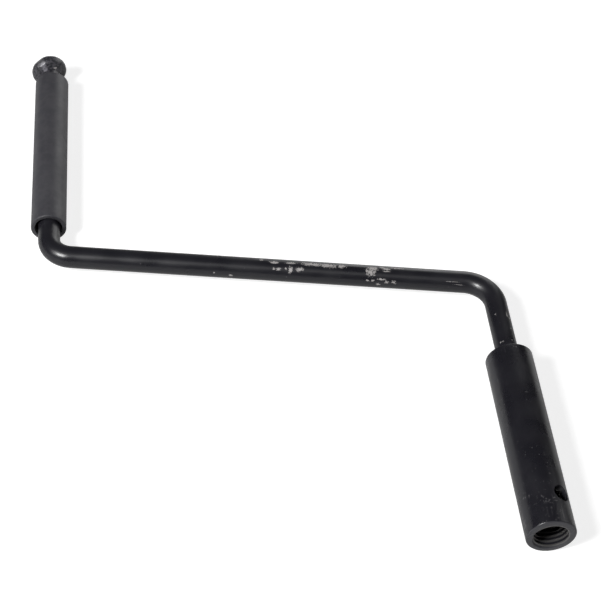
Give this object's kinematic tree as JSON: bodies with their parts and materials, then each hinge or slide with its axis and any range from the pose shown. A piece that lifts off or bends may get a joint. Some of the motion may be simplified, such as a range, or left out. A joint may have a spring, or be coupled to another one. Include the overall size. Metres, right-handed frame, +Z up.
{
  "type": "crank handle",
  "caption": "Cranked round-bar handle with a loose tube grip held by an upset head, and a tapped drive socket with a cross pin hole.",
  "frame": {"origin": "centre of the drive socket's mouth, on the socket's axis", "axes": "+Y runs along the drive socket away from its mouth, the arm reaches out to -X, +Z is up from the ground the crank lies on"},
  "size_m": [0.2626, 0.3585, 0.025],
  "materials": {
    "bar_paint": "satin black paint on steel bar, chipped to bare metal along the arm",
    "sleeve_paint": "dull dark grey coating on steel tube, faint flecks",
    "socket_paint": "satin black paint on turned steel, faint scratches, duller mouth face"
  },
  "bodies": {
    "crank": {"crank_rod": "bar_paint", "drive_socket": "socket_paint"},
    "grip": {"grip_sleeve": "sleeve_paint"}
  },
  "joints": [
    {"name": "grip_spin", "type": "hinge", "parent": "crank", "child": "grip", "pos_m": [-0.23878, 0.27975, -0.0028], "axis": [0.0124, 0.9999, 0], "continuous": true}
  ]
}
